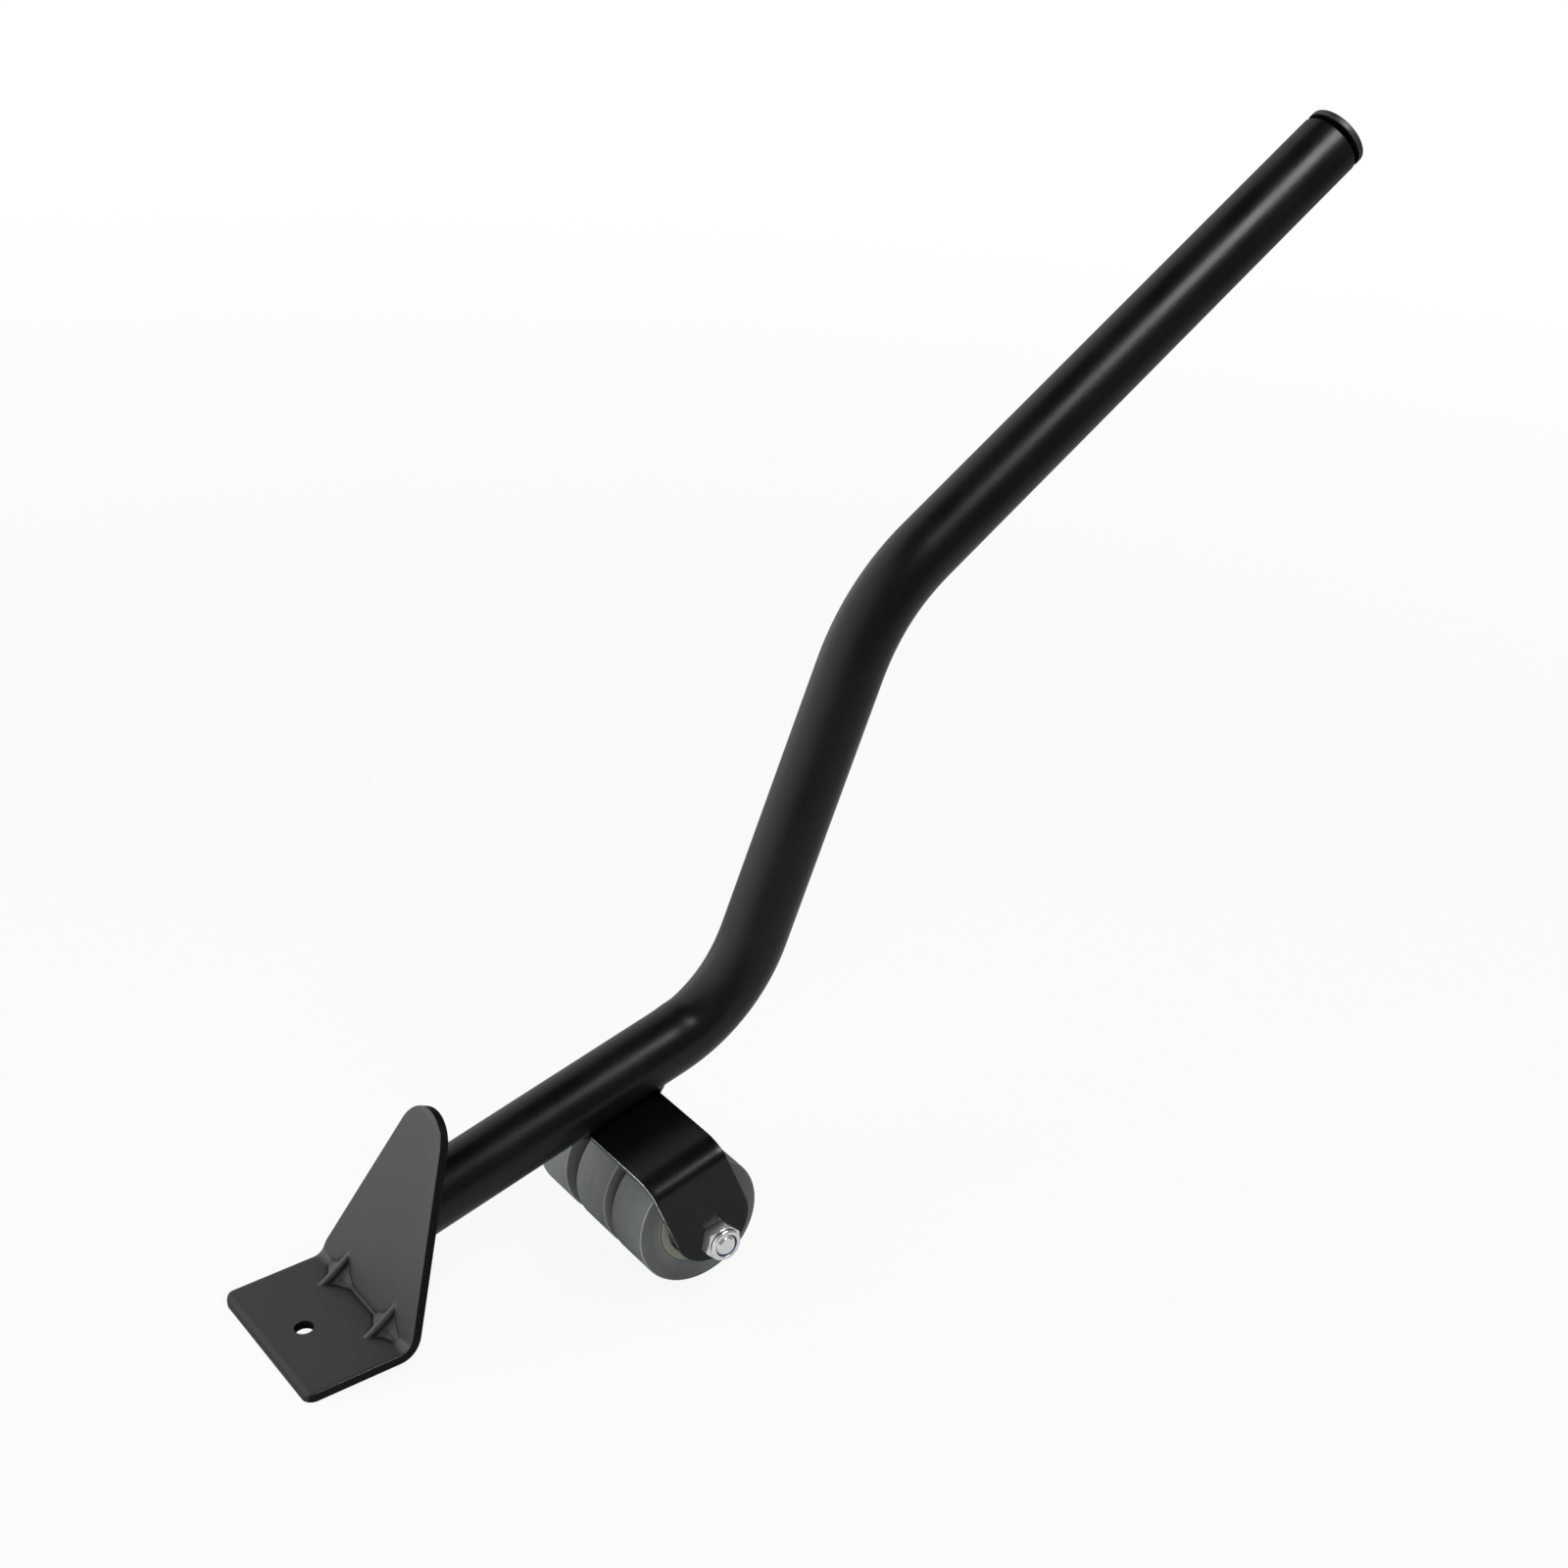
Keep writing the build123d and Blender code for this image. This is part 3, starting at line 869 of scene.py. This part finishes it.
def hex_side(turn, height):
    """Profile of a hexagon: up from its base, over its turned-off corner and onto its face."""
    flat = hex_flats / 2
    soft = hex_edge_round
    reach = hex_reach(turn)
    top = height - (reach - flat) * tan(hex_chamfer)
    return [
        (reach - soft, 0),
        (reach - 0.3 * soft, 0.3 * soft),
        (reach, soft),
        (reach, top - soft),
        (reach - 0.2 * soft, top - 0.35 * soft),
        (reach - 0.8 * soft, top),
        (flat - 1.2 * soft, height - 0.1 * soft),
        (flat - 2 * soft, height),
    ]


def nut_profile(turn):
    collar = nut_collar_radius
    lip = nut_lip_radius
    soft = small_round
    return [
        (axle_radius, 0),
        *hex_side(turn, nut_hex_height),
        *arc(collar + soft, nut_hex_height + soft, soft, -90, -180, 4),
        *arc(collar - nut_collar_round, nut_height - nut_collar_round, nut_collar_round, 0, 90, 8),
        *arc(lip + soft, nut_height - soft, soft, 90, 180, 4),
        (lip, nut_height - 2 * nut_lip_drop),
        (axle_radius, nut_height - 3 * nut_lip_drop),
    ]


def make_nut():
    seat = Vector((axle.x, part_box("lock_nut")[1].y, axle.z))
    nut = turned("lock_nut_turned", seat, -across, nut_profile, hex_segments, lower_heading)
    stand_for(nut, "lock_nut")
    top = nut_height - nut_lip_drop
    outside = nut_lip_radius + small_round
    profile = [
        *ring_end(outside + small_round, axle_radius, top, small_round),
        (axle_radius, nut_hex_height),
        (outside, nut_hex_height),
    ]
    insert = turned("lock_nut_insert_moulded", seat, -across, profile, turned_segments)
    stand_for(insert, "lock_nut_insert")


def make_bolt():
    low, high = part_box("axle_bolt")
    length = high.y - low.y - bolt_head_height
    seat = Vector((axle.x, low.y + length, axle.z))
    soft = small_round

    def profile(turn):
        return [
            (0, -length),
            (axle_radius - bolt_tip_chamfer - soft, -length),
            (axle_radius - bolt_tip_chamfer, soft - length),
            (axle_radius, bolt_tip_chamfer + soft - length),
            (axle_radius, -soft),
            (axle_radius + soft, 0),
            *hex_side(turn, bolt_head_height),
            (0.7 * hex_flats / 2, bolt_head_height - 0.5 * bolt_head_dish),
            (0, bolt_head_height - bolt_head_dish),
        ]

    bolt = turned("axle_bolt_turned", seat, across, profile, hex_segments, lower_heading)
    stand_for(bolt, "axle_bolt")


# Cap in the handle's end
def make_cap():
    front = cap_gap + cap_thickness
    crown_start = cap_radius - cap_round
    profile = [
        (0, -cap_stem_length),
        (cap_stem_radius - cap_round, -cap_stem_length),
        (cap_stem_radius, cap_round - cap_stem_length),
        *arc(cap_stem_radius + small_round, cap_gap - small_round, small_round, 180, 90, 4),
        *arc(cap_radius - small_round, cap_gap + small_round, small_round, -90, 0, 5),
        *arc(crown_start, front - cap_crown - cap_round, cap_round, 0, 80, 7),
        (0.6 * crown_start, front - 0.35 * cap_crown),
        (1.3 * cap_gate_radius, front),
        (cap_gate_radius, front - 0.25 * cap_gate_depth),
        (0.8 * cap_gate_radius, front - cap_gate_depth),
        (0, front - cap_gate_depth),
    ]
    cap = turned("end_cap_moulded", tube_end, handle_axis, profile, turned_segments)
    # The neck and the flange's inner face take a black without gloss: painted shade in the gap
    for face in cap.data.polygons:
        if (face.center - tube_end).dot(handle_axis) < cap_gap + small_round / 4:
            face.material_index = 1
    stand_for(cap, "end_cap", "gap_shade_plastic")


# Toe plate
toe_normal = Vector(mounts["toe_hole"]["axis"])
toe_hole_radius = mounts["toe_hole"]["dims"]["r_mm"] * MM
inner_corner = toe_hole + toe_normal * (plate_thickness / 2) + toe_way * (toe_length - toe_hole_from_front)
rib_chord = toe_way * rib_on_toe + back_way * rib_on_back
rib_way = rib_chord.normalized()
rib_out = square_to(atan2(rib_chord.z, rib_chord.x))
rib_height = back_way.dot(rib_out) * rib_on_back


def rib_section():
    """Half of a rib's section as (off, height over the inner corner): ridge, side, hollow and facet."""
    ridge = arc(0, rib_height - rib_ridge_round, rib_ridge_round, 90, 90 - rib_side_turn, 14)
    side = Vector(ridge[-1])
    out = radians(90 - rib_side_turn)
    centre = side + Vector((cos(out), sin(out))) * rib_hollow_round
    hollow = arc(centre.x, centre.y, rib_hollow_round, 270 - rib_side_turn, 270 - rib_facet_rise, 8)
    foot_off, foot_height = hollow[-1]
    fall = tan(radians(rib_facet_rise))
    offs = [*steps_between(foot_off, rib_reach, rib_facet_step)[1:], rib_reach]
    return [*ridge, *hollow[1:], *((off, foot_height - (off - foot_off) * fall) for off in offs)]


rib_profile = rib_section()


def rib_level(off, way):
    """Height of a rib's surface over the plate's inner corner: its section, folded in along the bend."""
    for before, after in zip(rib_profile, rib_profile[1:]):
        if off <= after[0]:
            break
    rise = before[1] + (after[1] - before[1]) * (off - before[0]) / (after[0] - before[0])
    middle = max(0, 1 - abs(way) / rib_fold_reach)
    return rise - rib_fold * middle * smooth(off, rib_ridge_round, 2.5 * rib_ridge_round)


def plate_place(along, side, depth):
    """Point of the bent plate: along its inner face from the bend, across it, and depth into the sheet."""
    opening = smooth(abs(side), rib_spacing / 2, plate_width / 2)
    radius = plate_inside_bend + (plate_edge_bend - plate_inside_bend) * opening
    reach = radius * tan(plate_turn / 2)
    turn = plate_turn * min(1, max(0, (along / reach + 1) / 2))
    normal = square_to(toe_heading + turn)
    if along < -reach:
        point = inner_corner + toe_way * along
    elif along > reach:
        point = inner_corner + back_way * along
    else:
        point = inner_corner - toe_way * reach + (toe_normal - normal) * radius
    nose = min(toe_nose_round, max(0, toe_nose_round - toe_length - along))
    drop = toe_nose_round - sqrt(toe_nose_round ** 2 - nose ** 2)
    point = point - normal * (depth + drop * (1 - depth / plate_thickness))
    spot = point - inner_corner
    off = abs(abs(side) - rib_spacing / 2)
    lift = rib_level(off, spot.dot(rib_way)) - rib_depth_share * depth - spot.dot(rib_out)
    raised = (lift + hypot(lift, rib_blend)) / 2
    beside = smooth(off, rib_ridge_round, 2 * rib_ridge_round)
    crease = rib_crease_depth * exp(-(lift / rib_crease_width) ** 2) * beside
    return point + across * side + rib_out * (raised - crease)


def plate_sides():
    """Edge of the plate's flat inner face from its front corner to its tip, as (along, half width)."""
    half = plate_width / 2
    soft = plate_edge_round
    tip = back_height - back_tip_round
    reach = hypot(half, tip - back_straight)
    taper = degrees(acos(back_tip_round / reach) - atan2(tip - back_straight, half))
    shoulder = back_straight - back_shoulder_round * tan(radians(taper / 2))

    def corner(along, side, radius, start, end, steps):
        return [(along + rise, out) for out, rise in arc(side, 0, radius - soft, start, end, steps)]

    front = corner(toe_corner_round - toe_length, half - toe_corner_round, toe_corner_round, -90, 0, 8)
    shoulder_arc = corner(shoulder, half - back_shoulder_round, back_shoulder_round, 0, taper, 6)
    tip_arc = corner(tip, 0, back_tip_round, taper, 90 - tip_row_turn, 8)
    straight = [
        *steps_between(front[-1][0], -rib_zone, plate_step)[1:],
        *steps_between(-rib_zone, shoulder, rib_zone_step),
    ]
    start, end = Vector(shoulder_arc[-1]), Vector(tip_arc[0])
    slope = (end - start) / (end.x - start.x)
    slant = [
        *steps_between(start.x, rib_zone, rib_zone_step)[1:],
        *steps_between(rib_zone, end.x, plate_step),
    ]
    return [
        *front,
        *((along, half - soft) for along in straight),
        *shoulder_arc,
        *(tuple(start + slope * (along - start.x)) for along in slant),
        *tip_arc,
    ]


def plate_rows():
    """Rows across the plate's flat inner face. Columns keep their distance from the ribs beside them."""
    half = plate_width / 2
    rib = rib_spacing / 2
    inside = rib + rib_reach
    offs = [off for off, height in rib_profile]
    right = [
        *steps_between(0, rib - rib_reach, plate_step),
        *(rib - off for off in reversed(offs)),
        *(rib + off for off in offs[1:]),
        *steps_between(inside, half, plate_step)[1:],
        half,
    ]
    shares = [*(-value / half for value in reversed(right[1:])), *(value / half for value in right)]
    rows = []
    keep = half
    for along, wide in plate_sides()[:-1]:
        if along <= rib_zone:
            keep = wide
        row = []
        for share in shares:
            side = abs(share) * half
            if side > inside:
                side = inside + (side - inside) * (keep - inside) / (half - inside)
            row.append((along, copysign(side * wide / keep, share)))
        rows.append(row)
    tip = back_height - back_tip_round
    radius = back_tip_round - plate_edge_round
    turns = [radians(tip_row_turn * share) for share in shares]
    rows.append([(tip + radius * cos(turn), radius * sin(turn)) for turn in turns])
    return rows


def make_toe_plate():
    plate = bent_sheet("toe_plate_pressed", plate_rows(), plate_place, plate_thickness, plate_edge_round)
    for face in plate.data.polygons:
        along = (face.center - inner_corner).dot(toe_way)
        if along < toe_nose_round - toe_length and abs(face.normal.y) < toe_nose_facing:
            face.material_index = 0
    # The rim's inner corner keeps the charcoal, its cut wall takes the dull black as painted shade, and its outer
    # corner the tube's black coat
    stand_for(plate, "toe_plate", "charcoal_coat", "edge_shade_coat", "black_coat")
    half = plate_thickness / 2
    soft = toe_hole_edge_round
    flare = [
        *arc(toe_hole_radius + soft, half - soft, soft, 180, 90, 5),
        (toe_hole_radius + soft, 2 * half),
    ]
    profile = [(0, -2 * half), *mirrored(flare), (0, 2 * half)]
    bore(plate, turned("toe_hole_cutter", toe_hole, toe_normal, profile, turned_segments))
    # The hole's wall takes the same dull black as the cut walls: painted shade
    for face in plate.data.polygons:
        if (face.center - toe_hole).cross(toe_normal).length < toe_hole_radius + soft / 2:
            face.material_index = 2


# Wheel bracket
bracket_low, bracket_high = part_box("wheel_bracket")
strap_top = axle_below_tube - tube_radius


def ear_run(bend):
    """Length of an ear's straight outer face, from its tip to a bend that takes up a height."""
    return strap_top - bend + ear_below_axle


def bend_run(bend):
    """Length of a bend's outer face: a quarter of an oval, tight at the ear and slow towards the tube."""
    return hypot(bend, strap_bend_lead) * pi / 2 / sqrt(2)


near_end = ear_run(strap_near_bend) + bend_run(strap_near_bend)
far_end = ear_run(strap_far_bend) + bend_run(strap_far_bend)
strap_flat = bracket_high.y - bracket_low.y - 2 * strap_bend_lead
strap_length = near_end + strap_flat + far_end


def strap_place(along, side, depth):
    """Point of the bent strap: along its outer face from the near tip, along the tube, and into it."""
    near = along < strap_length / 2
    reach = along if near else strap_length - along
    bend = strap_near_bend if near else strap_far_bend
    straight, curved = ear_run(bend), bend_run(bend)
    turn = pi / 2 * min(1, max(0, (reach - straight) / curved))
    inside = Vector((bend * cos(turn), -strap_bend_lead * sin(turn))).normalized() * depth
    inward = strap_bend_lead * (1 - cos(turn)) + max(0, reach - straight - curved) + inside.x
    up = min(reach, straight) - ear_below_axle + bend * sin(turn) + inside.y
    point = axle + lower_way * side + lower_side * up
    point.y = bracket_low.y + inward if near else bracket_high.y - inward
    return point


def ear_rows(shares, bend):
    """Rows of an ear's flat blank, from its round end through its bend."""
    radius = strap_width / 2
    round_in = radius - strap_edge_round
    end_turns = [radians(ear_row_turn * share) for share in shares]
    rows = [[(radius - round_in * cos(turn), round_in * sin(turn)) for turn in end_turns]]
    for wide, rise in arc(0, radius, round_in, ear_row_turn - 90, 0, 6)[1:]:
        rows.append([(rise, wide * share) for share in shares])
    steps = 6
    straight = ear_run(bend)
    for index in range(1, steps + 1):
        rise = radius + (straight - radius) * index / steps
        rows.append([(rise, round_in * share - axle_set_back * index / steps) for share in shares])
    for index in range(1, strap_bend_steps + 1):
        rise = straight + bend_run(bend) * index / strap_bend_steps
        rows.append([(rise, round_in * share - axle_set_back) for share in shares])
    return rows


def make_bracket():
    shares = [2 * index / strap_columns - 1 for index in range(strap_columns + 1)]
    round_in = strap_width / 2 - strap_edge_round
    near = ear_rows(shares, strap_near_bend)
    flat = steps_between(near_end, near_end + strap_flat, strap_width / 4)[1:]
    middle = [[(along, round_in * share - axle_set_back) for share in shares] for along in flat]
    far = ear_rows(shares, strap_far_bend)
    far = [[(strap_length - along, side) for along, side in row] for row in reversed(far)]
    rows = [*near, *middle, *far]
    bracket = bent_sheet("wheel_bracket_bent", rows, strap_place, strap_thickness, strap_edge_round)
    # The strap's outer rim corner takes the pale coat, a painted highlight along its front edge
    stand_for(bracket, "wheel_bracket", "rubbed_highlight_coat", "black_coat", "black_coat")
    span = bracket_high.y - bracket_low.y
    profile = [(0, -span), (axle_hole_radius, -span), (axle_hole_radius, span), (0, span)]
    bore(bracket, turned("axle_hole_cutter", axle, across, profile, turned_segments))


make_toe_plate()
make_tube()
make_toe_weld()
make_cap()
make_bracket()
strap_front = -axle_set_back - strap_width / 2
make_bracket_weld("bracket_weld_front", strap_front, -1)
make_bracket_weld("bracket_weld_rear", strap_front + strap_width, 1)
make_nut()
make_bolt()
make_ring("end_spacer", axle_hole_radius)
for roller in ("near", "middle", "far"):
    make_tyre(roller)
    make_hub(roller)
    make_ring("bush_" + roller, bush_bore)
for side in ("near", "far"):
    make_ring("roller_spacer_" + side, axle_hole_radius)


# Floor, lights and camera
def view_direction(azimuth, elevation):
    """Unit vector from the object towards a viewer. Azimuth 0 is on the -Y side and 90 on the +X side."""
    turn, lift = radians(azimuth), radians(elevation)
    return Vector((sin(turn) * cos(lift), -cos(turn) * cos(lift), sin(lift)))


def seen_rays(tree):
    """1 for rays that show a background: from the camera, off gloss and through glass."""
    path = add_node(tree, "LightPath")
    seen = combine(tree, "MAXIMUM", path["Is Camera Ray"], path["Is Glossy Ray"])
    return combine(tree, "MAXIMUM", seen, path["Is Transmission Ray"])


def wall_light(tree, direction):
    """Brightness of the walls in a direction: bright behind on the left, dim in front and above."""
    towards = reach_along(tree, direction, view_direction(wall_azimuth, 0))
    side = spread(tree, towards, 0, wall_bright, wall_start, wall_end)
    height = add_node(tree, "SeparateXYZ", {"Vector": direction})["Z"]
    below = spread(tree, height, 1, ceiling_share, wall_top_start, wall_top_end)
    return combine(tree, "MULTIPLY", combine(tree, "ADD", side, wall_dim), below)


def mix_shaders(tree, factor, first, second, output):
    """Puts a mix of two shaders on a tree's output."""
    mix = add_node(tree, "MixShader", {0: factor, 1: first, 2: second})["Shader"]
    tree.links.new(mix, tree.nodes[output].inputs["Surface"])


def make_floor():
    """Pale floor that keeps the object's shadow and is white to the camera. Far off it shows the walls."""
    mesh = bpy.data.meshes.new("floor")
    corners = [(x * floor_half, y * floor_half, 0) for x, y in ((-1, -1), (1, -1), (1, 1), (-1, 1))]
    mesh.from_pydata(corners, [], [(0, 1, 2, 3)])
    floor = add_object("floor", mesh)
    tree, shader = start_material("floor", 0.9, specular=0)
    shader.inputs["Base Color"].default_value = (floor_tone, floor_tone, floor_tone, 1)
    place = add_node(tree, "TexCoord")["Object"]
    distance = add_node(tree, "VectorMath", {0: place}, operation="LENGTH")["Value"]
    outward = add_node(tree, "VectorMath", {0: place}, operation="NORMALIZE")["Vector"]
    camera = add_node(tree, "LightPath")["Is Camera Ray"]
    white = spread(tree, distance, floor_white, 1, floor_white_start, floor_white_end)
    white = combine(tree, "MULTIPLY", camera, white)
    far = spread(tree, distance, 0, 1, floor_far_start, floor_far_end)
    share = combine(tree, "MULTIPLY", combine(tree, "MAXIMUM", white, far), seen_rays(tree))
    strength = choose(tree, camera, wall_light(tree, outward), 1)
    glow = add_node(tree, "Emission", {"Strength": strength})["Emission"]
    mix_shaders(tree, share, shader.outputs["BSDF"], glow, "Material Output")
    dress(floor, materials["floor"])


def make_world():
    """Soft studio walls, and plain white where the camera sees them."""
    world = bpy.data.worlds.new("studio")
    bpy.context.scene.world = world
    world.use_nodes = True
    tree = world.node_tree
    walls = tree.nodes["Background"]
    walls.inputs["Color"].default_value = (1, 1, 1, 1)
    light = wall_light(tree, add_node(tree, "TexCoord")["Generated"])
    tree.links.new(light, walls.inputs["Strength"])
    camera = add_node(tree, "LightPath")["Is Camera Ray"]
    strength = choose(tree, camera, light, 1)
    shown = add_node(tree, "Background", {"Color": (1, 1, 1, 1), "Strength": strength})["Background"]
    mix_shaders(tree, seen_rays(tree), walls.outputs["Background"], shown, "World Output")


def make_softbox(name, azimuth, elevation, distance, width, height, power, in_gloss):
    """Rectangular lamp that faces the object's middle, and may be kept out of glossy surfaces."""
    light = bpy.data.lights.new(name, "AREA")
    light.shape = "RECTANGLE"
    light.size = width
    light.size_y = height
    light.energy = power
    lamp = add_object(name, light)
    towards = view_direction(azimuth, elevation)
    lamp.location = (cad_box[0] + cad_box[1]) / 2 + towards * distance
    lamp.rotation_euler = (-towards).to_track_quat("-Z", "Y").to_euler()
    lamp.visible_camera = False
    lamp.visible_glossy = in_gloss


def make_camera():
    lens = bpy.data.cameras.new("camera")
    lens.lens = camera_lens
    camera = add_object("camera", lens)
    camera.location = camera_place + across * tube_end.y
    camera.rotation_mode = "QUATERNION"
    level = (-view_direction(camera_azimuth, camera_elevation)).to_track_quat("-Z", "Y")
    camera.rotation_quaternion = level @ Quaternion((0, 0, 1), radians(camera_roll))
    bpy.context.scene.camera = camera


make_floor()
make_world()
for name, values in lamps.items():
    make_softbox(name, *values)
make_camera()
bpy.context.scene.view_settings.view_transform = "Standard"
